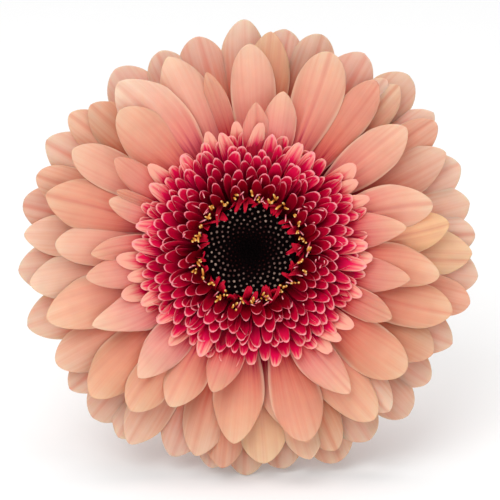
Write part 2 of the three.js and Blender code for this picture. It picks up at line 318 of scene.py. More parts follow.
# Closed buds of the disc: near black waxy sides, and a tip from dark red near the middle of the disc
# to a dull pinkish beige near its rim.
def makeBudSkin():
    material, add = startMaterial("gerbera disc bud, waxy")
    tone = add("Attribute", attribute_name="tone", out="Fac")
    tipColour = add("ValToRGB", tone, stops=[
        (0.0, "#050102"), (0.3, "#260C0C"), (0.5, "#4C2C2A"), (0.75, "#80645C"), (1.0, "#AC9284"),
    ])
    tip = add("MapRange", petalPlace(add, "Y"), 0.55, 0.75, **smooth)
    grain = grainPattern(add, 0.4)
    side = add("ValToRGB", grain, stops=[(0.35, "#020001"), (0.7, "#0E0304")])
    return finishMaterial(material, add, {
        "Base Color": add("MixRGB", tip, side, tipColour), "Roughness": 0.7, "Specular IOR Level": 0.05,
        "Normal": add("Bump", {"Strength": 0.3, "Distance": 0.1 * mm, "Height": grain}),
    })


# Green parts: matt and finely ribbed, with a reddish flush where the tone asks for it. Each entry is
# a name, the colours from green to flushed, the ribs across the piece and their depth in mm.
greenSkins = {
    "bract": ("gerbera bract, ribbed green", [
        (0.0, "#4F6B33"), (0.35, "#6E8A45"), (0.65, "#93A55C"), (1.0, "#8A4A38"),
    ], 14, 0.2),
    "stem": ("gerbera stem, ribbed green", [
        (0.0, "#7E9A4C"), (0.35, "#96AE62"), (0.6, "#A9BC78"), (0.8, "#A98A5C"), (1.0, "#8F5145"),
    ], 40, 0.15),
    "cut": ("gerbera stem, fresh cut", [
        (0.0, "#DDE2B4"), (0.5, "#C9D396"), (1.0, "#9DB066"),
    ], 6, 0.2),
}


def makeGreenSkin(name, stops, ribs, ribDepth):
    material, add = startMaterial(name)
    tone = add("Attribute", attribute_name="tone", out="Fac")
    streak = streakPattern(add, petalPlace(add), ribs, 3.0, None, 3.0)
    flush = add("Math MULTIPLY_ADD", streak, 0.35, tone)
    flush = add("Math MULTIPLY_ADD", grainPattern(add, 2.857, 3.0), 0.25, flush)
    flush = add("MapRange", flush, 0.12, 1.45)
    return finishMaterial(material, add, {
        "Base Color": add("ValToRGB", flush, stops=stops), "Roughness": 0.58, "Specular IOR Level": 0.35,
        "Normal": add("Bump", {"Strength": 0.5, "Distance": ribDepth * mm, "Height": streak}),
        "Subsurface Weight": 0.12, "Subsurface Scale": 0.001, "Subsurface Radius": (0.5, 1.0, 0.3),
        "Sheen Weight": 0.2, "Sheen Roughness": 0.5,
    })


# Fine hairs: colourless and soft, so they only brighten the edges of the green parts.
def makeDown():
    material, add = startMaterial("plant hair, fine and white")
    colour = add("ValToRGB", grainPattern(add, 1.111), stops=[(0.3, "#C9CFAE"), (0.7, "#EEF0DC")])
    return finishMaterial(material, add, {
        "Base Color": colour, "Roughness": 0.6, "Subsurface Weight": 0.3, "Subsurface Scale": 0.0003,
    })


# Styles: smooth, moist and thin, almost white where they curl and pink below.
def makeStyle():
    material, add = startMaterial("gerbera style tip, moist and pale")
    height = add("Math MULTIPLY_ADD", grainPattern(add, 0.5), 0.3, petalPlace(add, "Y"))
    colour = add("ValToRGB", height, stops=[
        (0.1, "#8E0A28"), (0.5, "#C8405A"), (0.9, "#E88E96"), (1.0, "#F2B8B0"),
    ])
    return finishMaterial(material, add, {
        "Base Color": colour, "Roughness": 0.4, "Subsurface Weight": 0.2, "Subsurface Scale": 0.0003,
    })


skins = {key: makeRaySkin(*skin) for key, skin in rayStops.items()}
skins |= {key: makeGreenSkin(*skin) for key, skin in greenSkins.items()}
skins |= {
    "floret": makeFloretSkin(), "pollen": makePollen(), "bud": makeBudSkin(),
    "down": makeDown(), "style": makeStyle(),
}
print("materials made:", len(skins))


def closedSheet(rows, columns, count=1):
    # the faces of a thin closed sheet: an upper grid, a lower grid and the border between them,
    # repeated for `count` sheets whose points follow one another
    index = np.arange(rows * columns).reshape(rows, columns)
    a, b, c, d = index[:-1, :-1], index[:-1, 1:], index[1:, 1:], index[1:, :-1]
    top = np.stack([a, b, c, d], -1).reshape(-1, 4)
    bottom = (top + rows * columns)[:, ::-1]
    loop = np.concatenate([index[0, :], index[1:, -1], index[-1, -2::-1], index[-2:0:-1, 0]])
    after = np.roll(loop, -1)
    border = np.stack([after, loop, loop + rows * columns, after + rows * columns], -1)
    one = np.concatenate([top, bottom, border])
    step = 2 * rows * columns
    return (one[None] + step * np.arange(count)[:, None, None]).reshape(-1, 4)


def closedTube(rings, sides):
    # the faces of a round body whose points are a first pole, rings of `sides` and a last pole:
    # walls between the rings and a fan at both poles
    index = 1 + np.arange(rings * sides).reshape(rings, sides)
    beside = np.roll(index, -1, 1)
    walls = np.stack([index[:-1], index[1:], beside[1:], beside[:-1]], -1).reshape(-1, 4)
    low = np.stack([np.zeros(sides, int), index[0], beside[0]], -1)
    high = np.stack([np.full(sides, 1 + rings * sides), beside[-1], index[-1]], -1)
    return walls, np.concatenate([low, high])


def makePiece(name, points, faceSets, skin, nodes, place, marks=None):
    # one mesh object from world points, arrays of faces, a petalMap place and marks per point
    points, place = points.reshape(-1, 3), place.reshape(-1, 2)
    faceSets = faceSets if isinstance(faceSets, list) else [faceSets]
    corners = np.concatenate([f.ravel() for f in faceSets]).astype(np.int32)
    sizes = np.concatenate([np.full(len(f), f.shape[1]) for f in faceSets])
    mesh = bpy.data.meshes.new(name)
    mesh.vertices.add(len(points))
    mesh.vertices.foreach_set("co", np.ascontiguousarray(points, np.float32).ravel())
    mesh.loops.add(len(corners))
    mesh.loops.foreach_set("vertex_index", corners)
    mesh.polygons.add(len(sizes))
    mesh.polygons.foreach_set("loop_start", (np.cumsum(sizes) - sizes).astype(np.int32))
    mesh.update(calc_edges=True)
    mesh.polygons.foreach_set("use_smooth", np.ones(len(sizes), bool))
    uvLayer = mesh.uv_layers.new(name="petalMap")
    uvLayer.data.foreach_set("uv", np.asarray(place, np.float32)[corners].ravel())
    for key, values in ({"tone": 0.5, "paling": 0.0} | (marks or {})).items():
        mark = mesh.attributes.new(key, "FLOAT", "POINT")
        mark.data.foreach_set("value", np.broadcast_to(np.ravel(values), len(points)).astype(np.float32))
    mesh.materials.append(skins[skin])
    piece = addObject(name, mesh)
    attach(piece, "root")
    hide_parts(*nodes)
    return piece


def addObject(name, data):
    # puts a mesh, lamp or camera into the scene
    thing = bpy.data.objects.new(name, data)
    bpy.context.scene.collection.objects.link(thing)
    return thing


def column(values):
    # one value for each petal of a batch, ready to spread over its grid
    return np.atleast_1d(np.asarray(values, float))[:, None, None]


def bell(x, breadth):
    # 1 at nought, falling off as the square's exponential
    return np.exp(-(x / breadth) ** 2)


# what every petal, tongue, lip and bract has in common
sheetHabit = {
    "grownBy": 0.45,        # share of the length over which the arch and the grooves grow in
    "grooveFade": 0.35,     # how much shallower a groove is at the tip
    "notchBreadth": 0.16,   # of the half width
    "skew": 0.05,           # of the half width, that one side may be narrower
    "waves": (5.0, 1.5),    # radians of the edge's wave along the length and across the width
    "thinEdge": 0.35,       # thickness at the edge, as a share of that in the middle
}


def petalSheets(course, form, rows, columns):
    # Points of a batch of petals. Along a petal, u goes from 0 at the foot to 1 at the tip, and
    # across it v goes from -1 to 1. The half width swells as a quarter sine to the widest place
    # and eases in again; the tip is a round or pointed cap; the section arches as 1 - v squared,
    # with grooves as narrow bells; the sheet then gets its thickness square to the course.
    h = sheetHabit
    u = (1 - (1 - np.linspace(0, 1, rows)) ** form["crowding"])[None, :, None]
    v = np.sin(np.linspace(-np.pi / 2, np.pi / 2, columns))[None, None, :]
    widest, foot, taper = column(form["widest"]), column(form["foot"]), column(form["taper"])
    swell = foot + (1 - foot) * np.sin(np.pi / 2 * np.clip(u / widest, 0, 1)) ** form["waist"]
    ease = 1 - taper * np.clip((u - widest) / (1 - widest), 0, 1) ** 2
    half = column(form["width"]) / 2 * np.where(u < widest, swell, ease)
    pointed = column(form["pointed"])
    cap = column(form["cap"]) * ((1 - pointed) * (1 - np.sqrt(1 - v * v)) + pointed * np.abs(v) ** 1.5)
    notch = column(form["notch"]) * bell(v - column(form["notchAt"]), h["notchBreadth"])
    share = u * (1 - cap - notch * u ** 6)
    side = v * half * (1 - h["skew"] * column(form["skew"]) * v)
    radius, level = course(share)
    stepR, stepL = np.gradient(radius, axis=1), np.gradient(level, axis=1)
    size = np.sqrt(stepR ** 2 + stepL ** 2) + 1e-9
    normalR, normalL = -stepL / size, stepR / size
    full = smoothStep(0, h["grownBy"], u)
    lift = column(form["arch"]) * (1 - v * v) * full
    for at, depth, breadth in form["grooves"]:
        lift = lift - column(depth) * bell(v - column(at), breadth) * full * (1 - h["grooveFade"] * u)
    lift = lift + side * np.tan(np.radians(column(form["roll"])))
    along, across = h["waves"]
    lift = lift + column(form["wave"]) * v * v * np.sin(column(form["wavePhase"]) + along * u + across * v)
    lift = lift + column(form["raise"]) * smoothStep(0.0, 0.5, u)
    thick = h["thinEdge"] + (1 - h["thinEdge"]) * (1 - v ** 4)
    thick = form["thickness"] * thick * (0.5 + 0.5 * np.cos(0.5 * np.pi * u ** 8))
    angle = np.radians(column(form["clock"]) + column(form["lean"]) * (share ** 1.5 - 1))
    sheets = []
    for face in (0.5, -0.5):
        r = radius + normalR * (lift + face * thick)
        z = level + normalL * (lift + face * thick)
        x = r * np.sin(angle) + side * np.cos(angle)
        y = r * np.cos(angle) - side * np.sin(angle)
        sheets.append(np.stack(np.broadcast_arrays(x, y, z), -1))
    points = np.stack(sheets, 1)
    place = np.stack(np.broadcast_arrays((v + 1) / 2, u), -1)
    place = np.broadcast_to(place[:, None], points.shape[:-1] + (2,))
    return points, place, np.broadcast_to(radius[:, None], points.shape[:-1])


# Rays, one list per row from the back: clock angle, reach and width in mm, then tone (0 pinker to
# 1 yellower), lightness (0 to 1) and, where a petal needs them, a lift above its row in mm and a
# lean in degrees from its foot to its tip. A row's course runs from its foot (radius, level), over
# a shoulder (rise, length), to the level of its tips. "waist" makes the foot narrow for longer.
rayRows = {
    "back": {
        "skin": "shadedBackRay", "slot": "back_petal_skin", "node": "back_petal", "paleFrom": 27.0,
        "foot": (12.4, -8.4), "shoulder": (4.4, 4.5), "tipLevel": -4.0, "breadth": 1.2, "waist": 2.4,
        "pointed": (0.1, 0.6), "widest": (0.82, 0.9), "capShare": (0.5, 0.66),
        "petals": [
            (358.5, 55.4, 9.5, 0.5, 0.6), (9.3, 53.6, 9, 0.25, 0.6), (18.3, 54.5, 9.5, 0.5, 0.3),
            (30.2, 54.6, 10.5, 0.2, 0.5), (42.6, 56.7, 10, 0.4, 0.2), (53.2, 55, 9.5, 0.3, 0.6),
            (68.2, 54.4, 10.5, 0.4, 0.6), (78, 53.9, 9.5, 0.6, 0.5), (86, 54.1, 9.5, 0.4, 0.4),
            (96.5, 55, 10, 0.5, 0.4), (114.8, 53.4, 10.5, 0.5, 0.3), (126.2, 53.4, 10, 0.4, 0.3),
            (136.2, 54.9, 10, 0.5, 0.1), (147.7, 53.8, 10, 0.6, 0.3), (157.5, 55.1, 10, 0.6, 0.1),
            (171.3, 53.1, 10, 0.4, 0.1), (181, 54.3, 9.5, 0.6, 0.2), (190, 53, 9, 0.3, 0.4),
            (200.7, 52.9, 9.5, 0.3, 0.5), (215, 54.9, 9.5, 0.6, 0.6), (223, 55.1, 9.5, 0.5, 0.3),
            (232.5, 54.7, 9.5, 0.4, 0.3), (251.2, 56.5, 10.5, 0.6, 0.5), (265, 55.8, 10.5, 0.5, 0.4),
            (281.7, 55.7, 10.5, 0.25, 0.2), (298.3, 55.4, 11, 0.6, 0.6), (323.5, 54.1, 11, 0.25, 0.8),
            (335.3, 52.3, 10, 0.3, 0.6), (345.7, 52.7, 10, 0.2, 0.4),
        ],
    },
    "second": {
        "skin": "shadedSecondRay", "slot": "petal_skin", "node": "second_petals", "paleFrom": 27.0,
        "foot": (11.4, -7.4), "shoulder": (6.0, 5.5), "tipLevel": -0.5, "breadth": 1.06, "waist": 2.6,
        "pointed": (0.2, 0.7), "widest": (0.84, 0.92), "capShare": (0.56, 0.72),
        "petals": [
            (5.5, 52.4, 10.5, 0.7, 0.2), (38.5, 52.3, 9, 0.25, 0.9), (42, 53, 8.5, 0.6, 0.3),
            (55.8, 53.9, 9.5, 0.2, 0.2), (63.5, 52.3, 11.5, 0.3, 0.6), (91, 53.1, 10.5, 0.9, 0.6),
            (103.7, 54.1, 9.5, 0.2, 0.2), (119.5, 50.3, 10.5, 0.6, 0.1), (139, 50.9, 10, 0.4, 0.75),
            (157, 52.1, 9.5, 0.6, 0), (164, 52, 9.5, 0.65, 0.5), (176.2, 51.1, 12, 0.9, 0.6),
            (187.3, 52.5, 9, 0.2, 0), (194.8, 50.8, 11, 0.5, 0.4), (212, 54.6, 10, 0.5, 0.6),
            (239.5, 53.7, 10.5, 0.5, 0.5), (261.3, 53.2, 10.5, 0.6, 0.9), (274, 54.2, 10, 0.5, 0.7),
            (289.3, 54, 9.5, 0.3, 0.2), (307, 54, 9.5, 0.5, 0.3), (312.3, 51.5, 10.5, 0.5, 0),
            (322, 50.8, 13, 0.5, 1, 5, -7),
        ],
    },
    "front": {
        "skin": "ray", "slot": "petal_skin", "node": "front_petal", "paleFrom": 25.0,
        "foot": (10.4, -6.4), "shoulder": (8.0, 7.0), "tipLevel": 4.5, "breadth": 0.98, "waist": 2.8,
        "pointed": (0.1, 0.65), "widest": (0.88, 0.95), "capShare": (0.62, 0.82),
        "petals": [
            (0, 49, 11, 0.25, 0.9, 0, -2), (22.5, 50.8, 12.5, 0.3, 0.75, 0.8, -3.5),
            (36.8, 50, 9, 0, 0.4, -0.5, -1.5), (52, 47.2, 11, 0.3, 0.8, 0, -1),
            (75.8, 45, 11.5, 0.5, 0.9, 0.5, 5), (82.5, 47.7, 10, 1, 0.6, -0.5, -5),
            (97.7, 45.7, 10.5, 0.4, 0.5, 0.5, 4), (107.2, 50.2, 11.5, 0.5, 0.4, 0, -4),
            (128.3, 47.1, 12.5, 0.5, 0.4, 1, -3), (144, 49.9, 12.5, 0.6, 0.6, -0.5, -4),
            (163.5, 47.6, 12.5, 0.2, 0.4, 0.8), (184.8, 46.3, 12.5, 0.6, 0.5), (207, 42.1, 10.5, 0.5, 0.6),
            (216.8, 47.7, 10.5, 0.6, 0.5, 0.6), (227.5, 51.3, 12.5, 0.6, 0.4, -0.5, -3),
            (251.3, 51, 13, 0.6, 0.75), (271.5, 46.4, 10, 0.3, 0.9, -0.5),
            (285, 50.3, 12.5, 0.3, 0.5, 0.8), (299.3, 48.4, 10, 0.3, 0.8),
            (317, 45.7, 13.5, 0.3, 0.6, 1.5, -3), (337, 49.8, 11.5, 0.3, 1, -0.8, -3),
        ],
    },
    "inner": {
        "skin": "innerRay", "slot": "petal_skin", "node": "inner_petals", "paleFrom": 25.0,
        "foot": (9.4, -5.4), "shoulder": (11.0, 8.5), "tipLevel": 8.5, "breadth": 1.0, "waist": 3.0,
        "pointed": (0.4, 1.0), "widest": (0.84, 0.93), "capShare": (0.75, 1.0),
        "petals": [
            (2.3, 35.2, 7, 0, 0.4, 0, -3), (12, 38.4, 8, 0.18, 0.6, 0, -3),
            (81.7, 37.5, 8.5, 0.3, 0.4, 0, 2.5), (100.3, 38.5, 8.5, 0.15, 0.3, 0, -3),
            (115.8, 37.3, 7, 0.12, 0.1), (145.3, 41.2, 9.5, 0.24, 0.5, 0, -6),
            (170.3, 40.7, 8, 0.3, 0.3, -4.5), (194.5, 35.1, 8.5, 0.12, 0.2, 0, 3.5),
            (221.2, 40.1, 10, 0.24, 0.7), (244.5, 41.4, 10.5, 0.36, 0.75, 0, 6),
            (260.5, 39.4, 8.5, 0.12, 0.5, 0, 2.5), (268.5, 37.7, 5.5, 0.15, 0.3, 0, -8),
            (289.3, 35.5, 6.5, 0.24, 0.5), (293.8, 34.8, 2.6, 0, 0, 0, 0), (304, 38.7, 7, 0, 0.3, 0, 4),
            (346.3, 42.6, 5.5, 0.15, 0.2, -3.5, -4),
        ],
    },
}
rayGrid = (44, 23)
rayTable = 0.6    # mm, how softly the lowest petals bend where they meet the table


def rayCourse(row, reach):
    # radius runs evenly from foot to reach; level climbs the shoulder as 1 - exp and then drifts
    # to the tip's level with the square of the share
    footRadius, footLevel = row["foot"]
    rise, length = row["shoulder"]
    reach = column(reach)

    def course(share):
        radius = footRadius + (reach - footRadius) * share
        climb = rise * (1 - np.exp(-(radius - footRadius) / length))
        drift = (row["tipLevel"] - footLevel - rise) * share ** 2
        return radius, footLevel + climb + drift
    return course


def restOnTable(points):
    # what would dip under the table lies softly against it: a rounded maximum of z and 0
    height = points[..., 2:]
    height = (height + np.sqrt(height ** 2 + (rayTable * mm) ** 2)) / 2
    return np.concatenate([points[..., :2], height], -1)


def makeRays(rowName):
    # each petal of a row by its own entry, with small irregularities of shape; it pales evenly from
    # the row's paleFrom to its tip
    row = rayRows[rowName]
    petals = np.array([petal + (0,) * (7 - len(petal)) for petal in row["petals"]])
    clock, reach, width, tone, lightness, lift, lean = petals.T
    width = width * row["breadth"]
    count = len(clock)
    foldAt, foldDepth = chance.normal(0, 0.14, count), chance.uniform(0.15, 1.0, count) ** 2
    form = {
        "clock": clock, "width": width, "lean": lean + chance.normal(0, 0.8, count),
        "widest": chance.uniform(*row["widest"], count), "foot": 0.24,
        "taper": chance.uniform(0.02, 0.12, count),
        "cap": width / (reach - row["foot"][0]) * chance.uniform(*row["capShare"], count),
        "pointed": chance.uniform(*row["pointed"], count), "notch": chance.uniform(0.0, 0.004, count),
        "notchAt": chance.uniform(-0.25, 0.25, count), "skew": chance.uniform(-1, 1, count),
        "arch": width * chance.uniform(0.08, 0.22, count), "roll": chance.normal(0, 5, count),
        "grooves": [(foldAt, foldDepth, 0.1)] + [
            (chance.normal(at, 0.06, count), chance.uniform(0.0, 0.45, count), 0.14) for at in (-0.45, 0.45)
        ],
        "wave": chance.uniform(0.05, 0.35, count), "wavePhase": chance.uniform(0, 2 * np.pi, count),
        "raise": (reach.mean() - reach) * 0.25 + lift, "thickness": 0.38, "crowding": 1.25,
        "waist": row["waist"],
    }
    points, place, radius = petalSheets(rayCourse(row, reach), form, *rayGrid)
    paleFrom = row["paleFrom"]
    paling = np.clip((radius - paleFrom) / (reach[:, None, None, None] - paleFrom), 0, 1)
    for i in range(count):
        node = f"{row['node']}_{i + 1:02d}" if rowName in ("back", "front") else row["node"]
        makePiece(f"{rowName}_ray_{i + 1:02d}", restOnTable(toWorld(points[i])), closedSheet(*rayGrid),
                  row["skin"], [node], place[i],
                  {"paling": paling[i], "tone": tone[i], "lightness": lightness[i],
                   "foldAt": foldAt[i], "foldDepth": foldDepth[i]})
    print(rowName, "rays:", count)


for rowName in rayRows:
    makeRays(rowName)


# Small florets: each tongue springs from the dome and bends out to its tip. Tips are spread by the
# golden angle, so that every tip has the same share of the face. "stray" is how far they scatter.
floretField = {
    "from": 14.8, "to": 27.8,       # radius of the tips
    "spacing": 1.52,                # the n-th tip is at spacing times the root of n
    "goldenAngle": 137.508,
    "width": (2.8, 3.3),            # innermost and outermost
    "lean": (8, 62),                # degrees of the tip from upright
    "tipLevels": (8.2, 9.6, 8.2),   # innermost, half way, outermost
    "straight": 6.0,                # the tip's last straight stretch
    "cup": (0.18, 0.42),            # depth of the tongue's hollow, of its width
    "stray": {"reach": 0.5, "clock": 1.2, "width": (0.8, 1.15), "lean": 8, "tipLevel": 0.4},
    "bands": {                      # shares of the way out, and the node that each stands for
        "inner_tongues": (0, 0.34, "middle_florets"),
        "middle_tongues": (0.34, 0.68, "middle_florets"),
        "outer_tongues": (0.68, 1.01, "outer_florets"),
    },
}
floretGrid = (9, 7)


def quadratic(share, start, knee, end):
    # the curve from start to end that the knee pulls on, of the second degree in the share
    return (1 - share) ** 2 * start + 2 * share * (1 - share) * knee + share ** 2 * end


def floretCourse(reach, tipLevel, lean, straight):
    # a quadratic curve from the dome through a knee, which lies `straight` behind the tip
    reach, tipLevel, straight = column(reach), column(tipLevel), column(straight)
    lean = np.radians(column(lean))
    footRadius = 5.6 + (reach - 14) * 0.42
    footLevel = bloomFrame["rimLevel"] + bloomFrame["rimRadius"] - footRadius
    kneeRadius, kneeLevel = reach - straight * np.sin(lean), tipLevel - straight * np.cos(lean)
    return lambda share: (quadratic(share, footRadius, kneeRadius, reach),
                          quadratic(share, footLevel, kneeLevel, tipLevel))


def floretForm(clock, width, cup):
    # the form of a batch of small florets, hollow by `cup` of their width
    count = len(clock)
    return {
        "clock": clock, "width": width, "lean": chance.normal(0, 3, count), "widest": 0.8, "foot": 0.3,
        "taper": chance.uniform(0.1, 0.3, count), "cap": chance.uniform(0.09, 0.14, count),
        "pointed": chance.uniform(0.0, 0.4, count), "notch": chance.uniform(0, 0.02, count),
        "notchAt": 0, "skew": 0, "arch": -cup * width, "grooves": [],
        "roll": chance.normal(0, 13, count), "wave": chance.uniform(0, 0.3, count),
        "wavePhase": chance.uniform(0, 6.28, count), "raise": chance.normal(0, 0.35, count),
        "thickness": 0.3, "crowding": 1.7, "waist": 1.25,
    }


def makeSmallFlorets():
    # one piece for each band of tongues; salmon grows on the outer ones towards their tips
    f, stray = floretField, floretField["stray"]
    number = np.arange(int((f["from"] / f["spacing"]) ** 2), int((f["to"] / f["spacing"]) ** 2))
    count = len(number)
    reach = f["spacing"] * np.sqrt(number) + chance.normal(0, stray["reach"], count)
    clock = number * f["goldenAngle"] % 360 + chance.normal(0, stray["clock"], count)
    outward = np.clip((reach - f["from"]) / (f["to"] - f["from"]), 0, 1)
    width = np.interp(outward, [0, 1], f["width"]) * chance.uniform(*stray["width"], count)
    lean = np.interp(outward, [0, 1], f["lean"]) + chance.normal(0, stray["lean"], count)
    tipLevel = np.interp(outward, [0, 0.5, 1], f["tipLevels"]) + chance.normal(0, stray["tipLevel"], count)
    for name, (low, high, node) in f["bands"].items():
        pick = (outward >= low) & (outward < high)
        form = floretForm(clock[pick], width[pick], cup=chance.uniform(*f["cup"], pick.sum()))
        course = floretCourse(reach[pick], tipLevel[pick], lean[pick], f["straight"])
        points, place, _ = petalSheets(course, form, *floretGrid)
        tone = np.broadcast_to(outward[pick][:, None, None, None], points.shape[:-1])
        flush = tone ** 1.5 * place[..., 1] ** 6 * 0.8
        makePiece(name, toWorld(points), closedSheet(*floretGrid, pick.sum()), "floret",
                  [node], place, {"tone": tone, "paling": flush})
        print(name, pick.sum())


makeSmallFlorets()

# Short rays between the florets and the big rays: crimson with salmon ends. Each has its clock
# angle, reach and width.
shortRays = {
    "florets": [
        (5, 30.5, 4), (11, 27.4, 4), (25.5, 28.2, 4), (33, 27.4, 4), (51, 32.0, 5.5), (57.3, 30.3, 4),
        (66.3, 30.9, 4.2), (88, 28.0, 4), (94, 29.1, 4), (98, 27.7, 4), (112.2, 28.4, 4), (127, 30.4, 4.5),
        (135, 30.3, 4.2), (142, 30.8, 4.5), (205.3, 27.9, 4), (220.3, 29.1, 4), (232, 27.9, 4),
        (243.5, 29.0, 4), (250, 32.2, 5), (257, 29.8, 4), (266, 32.0, 5), (273, 28.0, 4), (282, 27.8, 4),
        (303, 28.2, 4), (310, 31.6, 4.5), (324, 27.6, 4), (340, 29.7, 4.2), (346, 28.5, 4),
        (353.7, 30.4, 4.2),
    ],
    "lean": 70, "straight": 9, "tipLevel": 8.8,
}
shortGrid = (22, 11)


def makeShortRays():
    # flatter and longer tongues, each its own piece; the longer ones lie a little lower
    s = shortRays
    clock, reach, width = np.array(s["florets"]).T
    count = len(clock)
    form = floretForm(clock, width, cup=0.0)
    form |= {
        "arch": width * chance.uniform(-0.12, 0.1, count), "widest": 0.78, "cap": width / 22,
        "grooves": [(chance.normal(0, 0.1, count), chance.uniform(0.05, 0.35, count), 0.15)],
        "crowding": 1.4,
    }
    tipLevel = s["tipLevel"] - (reach - 29) * 0.25 + chance.normal(0, 0.2, count)
    course = floretCourse(reach, tipLevel, s["lean"], s["straight"])
    points, place, _ = petalSheets(course, form, *shortGrid)
    flush = smoothStep(0.55, 1.0, place[..., 1]) * np.clip((reach - 24) / 6, 0.5, 1)[:, None, None, None]
    for i in range(count):
        makePiece(f"short_ray_{i + 1:02d}", toWorld(points[i]), closedSheet(*shortGrid), "floret",
                  ["outer_florets"], place[i], {"tone": 1.0, "paling": flush[i]})
    print("short rays:", count)


makeShortRays()


def roundForms(centreLine, radii, sides, count):
    # closed round bodies: rings of `sides` points carried along each centre line, with a pole at
    # both ends; centreLine is (count, rings, 3) and radii is (count, rings)
    rings = centreLine.shape[1]
    along = unit(np.gradient(centreLine, axis=1))
    helper = np.where(np.abs(along[..., :1]) < 0.8, [1.0, 0, 0], [0, 1.0, 0])
    across = unit(np.cross(along, helper))
    third = np.cross(along, across)
    turn = np.linspace(0, 2 * np.pi, sides, endpoint=False)
    ring = across[..., None, :] * np.cos(turn)[:, None] + third[..., None, :] * np.sin(turn)[:, None]
    skin = centreLine[..., None, :] + radii[..., None, None] * ring
    first = centreLine[:, :1] - along[:, :1] * radii[:, :1, None] * 0.3
    last = centreLine[:, -1:] + along[:, -1:] * radii[:, -1:, None] * 0.3
    points = np.concatenate([first, skin.reshape(count, -1, 3), last], 1)
    height = np.repeat(np.linspace(0, 1, rings), sides)
    place = np.stack([np.tile(np.linspace(0, 1, sides), rings), height], -1)
    place = np.concatenate([[[0.5, 0.0]], place, [[0.5, 1.0]]])
    walls, caps = closedTube(rings, sides)
    step = (2 + rings * sides) * np.arange(count)[:, None, None]
    # this ring turns the other way from the one that closedTube expects
    faces = [(walls[:, [0, 3, 2, 1]] + step).reshape(-1, 4), (caps[:, [0, 2, 1]] + step).reshape(-1, 3)]
    return points, np.broadcast_to(place, (count,) + place.shape), faces


def turnedShell(profile, sides):
    # a closed body from a (radius, level) profile that starts and ends on the axis
    profile = np.asarray(profile, float)
    inner = profile[1:-1]
    turn = np.linspace(0, 2 * np.pi, sides, endpoint=False)
    ring = np.stack([
        inner[:, :1] * np.sin(turn), inner[:, :1] * np.cos(turn), np.repeat(inner[:, 1:], sides, 1),
    ], -1)
    rings = len(inner)
    points = np.concatenate([[[0, 0, profile[0, 1]]], ring.reshape(-1, 3), [[0, 0, profile[-1, 1]]]])
    place = np.stack([np.tile(turn / (2 * np.pi), rings), np.repeat(np.linspace(0, 1, rings), sides)], -1)
    place = np.concatenate([[[0.5, 0]], place, [[0.5, 1]]])
    return points, place, list(closedTube(rings, sides))


def polar(clock, radius, level):
    # a place in the bloom's frame from its clock angle, its distance from the axis and its level
    angle = np.radians(clock)
    return np.stack(np.broadcast_arrays(radius * np.sin(angle), radius * np.cos(angle), level), -1)


discField = {
    "count": 260, "to": 10.6, "growth": 0.72,                # radius goes as number to the power growth
    "levels": [(0, 3.4), (4, 3.9), (8, 5.0), (10.6, 5.6)],   # of the buds' tips, by radius
    "girth": 0.34,                                           # of the distance between neighbours
    "budLength": 3.2,
    "heights": (0, 0.55, 0.8, 0.91, 0.975, 1.0),             # of the rings up a bud, and their girths
    "girths": (0.6, 0.95, 1.0, 0.8, 0.45, 0.16),
    # the dark ground that the buds stand on, as (radius, level) from below to its top
    "ground": [(0, -1.1), (5.1, -1.1), (10.9, 4.7), (10.6, 4.9), (8, 4.1), (4, 3.0), (0, 2.5)],
}


def makeBuds():
    # buds in golden angle spirals, each a blunt spindle that leans in to its foot; paler outwards
    d = discField
    number = np.arange(1, d["count"] + 1)
    radius = d["to"] * (number / d["count"]) ** d["growth"]
    pitch = np.sqrt(2 * np.pi * d["growth"] * radius ** 2 / number)
    clock = number * floretField["goldenAngle"] + chance.normal(0, 0.6, len(number))
    level = np.interp(radius, *zip(*d["levels"])) + chance.normal(0, 0.08, len(number))
    depth = (1 - np.array(d["heights"])) * d["budLength"]
    line = polar(clock[:, None], radius[:, None] * (1 - 0.05 * depth), level[:, None] - depth)
    girths = np.array(d["girths"]) * (d["girth"] * pitch * chance.uniform(0.85, 1.1, len(number)))[:, None]
    points, place, faces = roundForms(line, girths, 7, len(number))
    tone = np.clip((radius - 2.6) / 6.4, 0, 1) ** 0.8 * chance.uniform(0.6, 1.1, len(number))
    tone = np.repeat(np.clip(tone, 0, 1), points.shape[1])
    makePiece("disc_bud_tips", toWorld(points), faces, "bud", ["disc_buds"], place, {"tone": tone})
    points, place, faces = turnedShell(d["ground"], 48)
    makePiece("disc_ground", toWorld(points), faces, "bud", ["disc_buds"], place * [1, 0],
              {"tone": 0.0})
    print("buds:", len(number))


makeBuds()

# clusters of three bent pollen sacs on a dark tube, standing between the florets
antherField = {
    "clusters": 34, "ring": (11.5, 14.2), "level": 9.3, "sacs": 3, "spread": 0.33, "length": 1.15,
    "radius": 0.27, "tubeLength": 4.6, "tubeRadius": 0.35,
    "heights": (0, 0.15, 0.4, 0.7, 0.9, 1.0), "girths": (0.5, 0.8, 1.0, 1.0, 0.75, 0.4),   # along a sac
}


